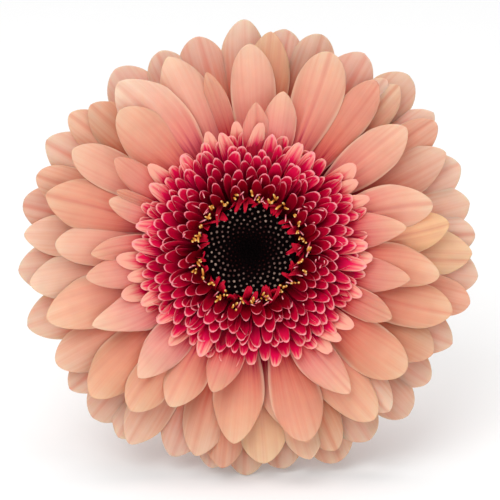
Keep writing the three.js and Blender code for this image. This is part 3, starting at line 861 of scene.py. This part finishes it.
def makeAnthers():
    # a sac's line runs from its foot along an aim that bends with the square of the share
    a = antherField
    clusters = a["clusters"]
    clock = np.arange(clusters) * floretField["goldenAngle"] + chance.normal(0, 2.5, clusters)
    radius = chance.uniform(*a["ring"], clusters)
    head = polar(clock, radius, a["level"] + chance.normal(0, 0.45, clusters))
    count = clusters * a["sacs"]
    foot = np.repeat(head, a["sacs"], 0) + chance.normal(0, a["spread"], (count, 3))
    aim = chance.normal(0, 0.5, (count, 3)) + [0, 0, 1]
    bend = chance.normal(0, 0.35, (count, 3))
    share = np.array(a["heights"])[None, :, None]
    length = a["length"] * chance.uniform(0.6, 1.1, count)[:, None, None]
    line = foot[:, None] + length * share * (aim[:, None] + bend[:, None] * share) - [0, 0, 0.7]
    girth = np.broadcast_to(np.array(a["girths"]) * a["radius"], (count, len(a["girths"])))
    points, place, faces = roundForms(line, girth, 7, count)
    makePiece("pollen_sacs", toWorld(points), faces, "pollen", ["anther_florets"], place)
    depth = np.linspace(a["tubeLength"], 0, 5)[None, :, None]
    tube = head[:, None] - (depth + 0.9) * [0, 0, 1]
    points, place, faces = roundForms(tube, np.full((clusters, 5), a["tubeRadius"]), 7, clusters)
    makePiece("anther_tubes", toWorld(points), faces, "bud", ["anther_florets"], place,
              {"tone": 0.0})
    print("anther clusters:", clusters)


makeAnthers()

# pale tips of styles, each a thin thread curled over at its end
curlField = {
    "count": 70, "ring": (11.2, 18.5), "level": 8.1, "length": 2.2, "radius": 0.16,
    "girths": (1, 1, 1, 1, 1, 1, 0.9, 0.5), "turn": (1.2, 2.9),    # radians that a tip curls over
}


def makeCurls():
    # each thread is an arc that starts upright and curls over towards its own heading
    c = curlField
    count, rings = c["count"], len(c["girths"])
    radius = np.interp(chance.uniform(0, 1, count) ** 1.3, [0, 1], c["ring"])
    clock = chance.uniform(0, 360, count)
    foot = polar(clock, radius, c["level"] + chance.normal(0, 0.4, count))
    heading = chance.uniform(0, 2 * np.pi, count)
    side = np.stack([np.cos(heading), np.sin(heading), np.zeros(count)], -1)[:, None]
    turn = np.linspace(0, 1, rings)[None, :, None] * chance.uniform(*c["turn"], count)[:, None, None]
    bow = c["length"] * chance.uniform(0.5, 1.1, count)[:, None, None] / 2
    line = foot[:, None] + bow * (np.sin(turn) * [0, 0, 1] + (1 - np.cos(turn)) * side)
    girth = np.broadcast_to(np.array(c["girths"]) * c["radius"], (count, rings))
    points, place, faces = roundForms(line, girth, 5, count)
    makePiece("style_tips", toWorld(points), faces, "style", ["anther_florets"], place)
    print("style tips:", count)


makeCurls()

lipGrid = (12, 11)
lipField = {"count": 44, "foot": (12.6, 2.0), "knee": (12.6, 8.6), "tip": (9.6, 8.0), "width": 1.7}


def makeLips():
    # the inner lips of the outermost open disc florets, bent in over the buds on quadratic curves
    # from foot through knee to tip, each a (radius, level)
    p = lipField
    count = p["count"]
    clock = np.arange(count) * 360 / count + chance.normal(0, 3.5, count)
    tipRadius = column(p["tip"][0] + chance.uniform(-1.3, 1.7, count))
    tipLevel = column(p["tip"][1] + chance.normal(0, 0.7, count))
    form = floretForm(clock, p["width"] * chance.uniform(0.5, 1.3, count), cup=-0.2)
    form |= {
        "notch": chance.uniform(0, 0.14, count), "cap": chance.uniform(0.1, 0.35, count), "widest": 0.7,
        "lean": chance.normal(0, 14, count), "roll": chance.uniform(-35, 35, count),
        "wave": chance.uniform(0.2, 0.7, count),
    }

    def course(share):
        return (quadratic(share, p["foot"][0], p["knee"][0], tipRadius),
                quadratic(share, p["foot"][1], p["knee"][1], tipLevel))
    points, place, _ = petalSheets(course, form, *lipGrid)
    makePiece("inner_lips", toWorld(points), closedSheet(*lipGrid, count)[:, ::-1], "floret",
              ["anther_florets"], place * [1, 0.93], {"tone": 0.15})
    print("lips:", count)


makeLips()

cupFlare = {"neck": (3.8, -19.43), "knee": (10.4, -15.78), "rim": (13.0, -9.0)}
cupDome = [(12, -8.4), (5.43, -1.43), (0, -1.43)]    # the dome of floret tubes, down to the axis


def flarePoint(share, off):
    # a point of the cup's outside, a quadratic curve from neck to rim, moved `off` outwards
    neck, knee, rim = (np.array(point) for point in cupFlare.values())
    share = np.asarray(share, float)[..., None]
    slope = unit(2 * (1 - share) * (knee - neck) + 2 * share * (rim - knee))
    out = np.stack([slope[..., 1], -slope[..., 0]], -1)
    return quadratic(share, neck, knee, rim) + out * np.asarray(off, float)[..., None]


def makeReceptacle():
    # the cup's flare from neck to rim, then the dome, turned round the bloom's axis
    flare = flarePoint(np.linspace(0, 1, 14), np.zeros(14))
    points, place, faces = turnedShell(np.concatenate([[[0, flare[0, 1]]], flare, cupDome]), 48)
    makePiece("receptacle_cup", toWorld(points), faces, "bract", ["receptacle"], place,
              {"tone": 0.2})


makeReceptacle()

# "off" is a row's distance from the cup and "flare" how far its tips stand off further, in mm;
# "reach" is in lengths of the cup's flare
bractRows = {
    "inner": {"count": 24, "width": 3.6, "off": 0.55, "flare": 1.6, "reach": 1.12, "node": "inner_bracts"},
    "outer": {"count": 21, "width": 3.2, "off": 1.5, "flare": 2.0, "reach": 0.9, "node": "outer_bracts"},
}
bractGrid = (20, 9)


def makeBracts(rowName):
    # bracts that follow the cup's flare, stand off with the cube of their length and redden at the tip
    b = bractRows[rowName]
    count = b["count"]
    between = 0.5 if rowName == "outer" else 0
    clock = (np.arange(count) + between) * 360 / count + chance.normal(0, 1.5, count)
    form = floretForm(clock, b["width"] * chance.uniform(0.85, 1.1, count), cup=0.1)
    form |= {
        "widest": 0.35, "foot": 0.75, "taper": 0.75, "cap": 0.12, "pointed": 0.9, "notch": 0.0,
        "roll": chance.normal(0, 4, count), "raise": 0.0, "thickness": 0.5, "crowding": 1.1,
    }
    stretch = column(b["reach"] * chance.uniform(0.93, 1.05, count))

    def course(share):
        along = share * stretch
        return np.moveaxis(flarePoint(along, b["off"] + b["flare"] * along ** 3), -1, 0)
    points, place, _ = petalSheets(course, form, *bractGrid)
    tone = 0.15 + 0.45 * smoothStep(0.7, 1.0, place[..., 1])
    makePiece(rowName + "_bract_row", toWorld(points), closedSheet(*bractGrid, count), "bract",
              [b["node"]], place, {"tone": tone})
    print(rowName, "bracts:", count)


for rowName in bractRows:
    makeBracts(rowName)

stemPlan = {
    "radius": 3.3, "ribs": 11, "ribDepth": 0.10,
    "rings": 220, "sides": 88,
    "firstHandle": 0.7,    # share of the straight run from the neck to the table
    "lastHandle": 0.35,    # share of the stem's reach along the table
    "gap": 0.3,            # between stem and neck in the frame, closed here
    "cutInward": (0.93, 0.8, 0.55, 0.3, 0.12),    # rings on the cut face, as shares of its radius
    "cutSunk": (-0.05, 0.15, 0.3, 0.35, 0.5),     # and how deep each is sunk, in mm
}


def stemLine(rings):
    # the cubic curve that leaves the neck square to it and meets the table flat
    radius = stemPlan["radius"] * mm
    neck = toWorld([0, 0, bloomFrame["neckLevel"] - stemPlan["gap"]])
    back = unit(toWorld([0, 0, -1]) - toWorld([0, 0, 0]))
    straightRun = (neck[2] - radius) / math.sin(tilt)
    end = np.array([neck[0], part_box("stem")[1][1], radius])
    handles = [neck, neck + stemPlan["firstHandle"] * straightRun * back,
               end - [0, stemPlan["lastHandle"] * (end[1] - neck[1]), 0], end]
    t = np.linspace(0, 1, rings)[:, None]
    weights = [(1 - t) ** 3, 3 * t * (1 - t) ** 2, 3 * t * t * (1 - t), t ** 3]
    return sum(w * h for w, h in zip(weights, handles))


def roundStem(along, turn):
    # unit steps out of the stem, square to its unit steps along and at an angle round it
    right = np.array([1.0, 0, 0])
    up = np.cross(right, along)
    return right * np.cos(turn)[..., None] + up * np.sin(turn)[..., None]


def makeStem():
    # rings carried along the stem's line, their radius rippled by the ribs and swollen at the neck,
    # then rings that shrink over the cut face, which is sunk between the ribs and the pith
    s = stemPlan
    line = stemLine(s["rings"])
    turn = np.linspace(0, 2 * np.pi, s["sides"], endpoint=False)
    along = unit(np.gradient(line, axis=0))[:, None]
    out = roundStem(along, turn)
    share = np.linspace(0, 1, s["rings"])
    rib = 1 - s["ribDepth"] / s["radius"] * (0.5 + 0.5 * np.cos(s["ribs"] * turn + 1.5 * np.sin(2 * turn)))
    swell = 1 + 0.16 * np.exp(-share * 60) - 0.04 * bell(share - 0.06, 0.04)
    skin = line[:, None] + (mm * s["radius"] * swell[:, None] * rib)[..., None] * out
    back, inward = along[-1], np.array(s["cutInward"])[:, None, None]
    end = line[-1] + (skin[-1] - line[-1]) * inward - back * np.array(s["cutSunk"])[:, None, None] * mm
    body = np.concatenate([skin, end]).reshape(-1, 3)
    points = np.concatenate([[line[0]], body, line[-1] - back * 0.5 * mm])
    rings = len(body) // s["sides"]
    walls, caps = closedTube(rings, s["sides"])
    heights = np.concatenate([share, np.linspace(1, 1.02, rings - len(share))])
    place = np.stack([np.tile(turn / (2 * np.pi), rings), np.repeat(heights, s["sides"]) * 12], -1)
    place = np.concatenate([[[0, 0]], place, [[0.5, 12]]])
    flush = 0.25 * np.exp(-share * 14) + 0.75 * smoothStep(0.72, 1.0, share) ** 1.5
    flush = np.repeat(np.concatenate([flush, np.zeros(rings - len(share))]), s["sides"])
    stem = makePiece("flower_stem", points, [walls, caps], "stem", ["stem"], place,
                     {"tone": np.concatenate([[0.2], flush, [0]])})
    stem.data.materials.append(skins["cut"])
    look = np.zeros(len(walls) + len(caps), np.int32)
    look[s["rings"] * s["sides"]:len(walls)] = 1
    look[-s["sides"]:] = 1
    stem.data.polygons.foreach_set("material_index", look)
    print("stem made,", len(points), "points")


makeStem()

# fine hairs on the green parts: how many, from what to what length in mm, how deep they are rooted
# in the stem, how far the bracts that bear them stand off the cup, and a hair's radius up its length
hairs = {
    "stem": {"count": 2600, "length": (0.5, 1.1), "rooted": 0.15},
    "bracts": {"count": 1500, "length": (0.6, 1.3), "off": 1.6, "flare": 2.0},
    "girths": (0.035, 0.025, 0.006),
}


def makeHairs(name, roots, out, length, node):
    # three-sided spikes that start just inside the skin and bend a little
    count = len(roots)
    tip = unit(out + chance.normal(0, 0.35, (count, 3)))
    share = np.array([[0.0], [0.5], [1.0]])
    aim = out[:, None] * (1 - share) + tip[:, None] * share
    line = roots[:, None] + length[:, None, None] * share * aim
    girth = np.broadcast_to(np.array(hairs["girths"]) * mm, (count, 3))
    points, place, faces = roundForms(line, girth, 3, count)
    makePiece(name, points, faces, "down", [node], place)


def makeStemHairs():
    # roots at random along the stem and round it, but none that would reach the table
    h = hairs["stem"]
    line = stemLine(400)
    at = chance.integers(0, 399, h["count"])
    turn = chance.uniform(0, 2 * np.pi, h["count"])
    out = roundStem(unit(np.gradient(line, axis=0)[at]), turn)
    roots = line[at] + out * (stemPlan["radius"] - h["rooted"]) * mm
    length = chance.uniform(*h["length"], h["count"]) * mm
    clear = roots[:, 2] + out[:, 2] * length > 0.15 * mm
    makeHairs("stem_hairs", roots[clear], out[clear], length[clear], "stem")


def makeBractHairs():
    # roots at random over the outer bracts' flare, each pointing straight off it
    h = hairs["bracts"]
    share = chance.uniform(0.05, 1.0, h["count"])
    clock = chance.uniform(0, 360, h["count"])
    off = h["off"] + h["flare"] * share ** 3
    near, far = [toWorld(polar(clock, *flarePoint(share, off + more).T)) for more in (0, 1)]
    length = chance.uniform(*h["length"], h["count"]) * mm
    makeHairs("bract_hairs", near, unit(far - near), length, "outer_bracts")


makeStemHairs()
makeBractHairs()
print("hairs made")

stage = {"floor": 3.0, "floorColour": "#FFFFFF", "worldColour": "#FFFFFF", "worldStrength": 0.5}


def makeStage():
    # a plain pale table top, matt, in an evenly white room
    half = stage["floor"] / 2
    mesh = bpy.data.meshes.new("table_top")
    corners = [(-half, -half, 0), (half, -half, 0), (half, half, 0), (-half, half, 0)]
    mesh.from_pydata(corners, [], [(0, 1, 2, 3)])
    floor = addObject("table_top", mesh)
    material, add = startMaterial("plain pale table top, matt")
    mesh.materials.append(finishMaterial(material, add, {
        "Base Color": linear(stage["floorColour"]), "Specular IOR Level": 0.2, "IOR": 1.5,
        "Roughness": add("MapRange", grainPattern(add, 3.333), 0.0, 1.0, 0.8, 0.95),
    }))
    world = bpy.data.worlds.new("studio")
    bpy.context.scene.world = world
    world.use_nodes = True
    background = world.node_tree.nodes["Background"]
    background.inputs[0].default_value = linear(stage["worldColour"])
    background.inputs[1].default_value = stage["worldStrength"]


makeStage()

# each lamp: where it stands in the bloom's frame, in mm from its middle, its size and its watts
lamps = {
    "key": {"at": (-400, 600, 1100), "size": 0.9, "power": 6.8},
    "fill": {"at": (350, -300, 1150), "size": 0.9, "power": 4.2},
    "overhead": {"at": (0, 1400, 300), "size": 1.2, "power": 9.5},
}


def makeLamps():
    # square soft boxes that all face the middle of the bloom
    for name, lamp in lamps.items():
        light = bpy.data.lights.new(name + "_softbox", "AREA")
        light.size = lamp["size"]
        light.energy = lamp["power"]
        holder = addObject(name + "_softbox", light)
        holder.location = toWorld(lamp["at"])
        aim = bloomMiddle - toWorld(lamp["at"])
        holder.rotation_euler = Vector(aim).to_track_quat("-Z", "Y").to_euler()


makeLamps()

camera = {"lens": 180, "sensor": 36, "width": 119.3}   # width in mm of what is seen at the bloom


def makeCamera():
    # square to the face; its distance is the seen width times lens over sensor
    lens = bpy.data.cameras.new("camera")
    lens.lens = camera["lens"]
    lens.sensor_width = camera["sensor"]
    lens.clip_start = 0.01
    holder = addObject("camera", lens)
    holder.location = toWorld([0, 0, camera["width"] * camera["lens"] / camera["sensor"]])
    holder.rotation_euler = (math.pi / 2 - tilt, 0, 0)
    bpy.context.scene.camera = holder


makeCamera()
# plain colour values, so that a petal's hex is what it looks like in full light
bpy.context.scene.view_settings.view_transform = "Standard"
print("stage, lamps and camera set")
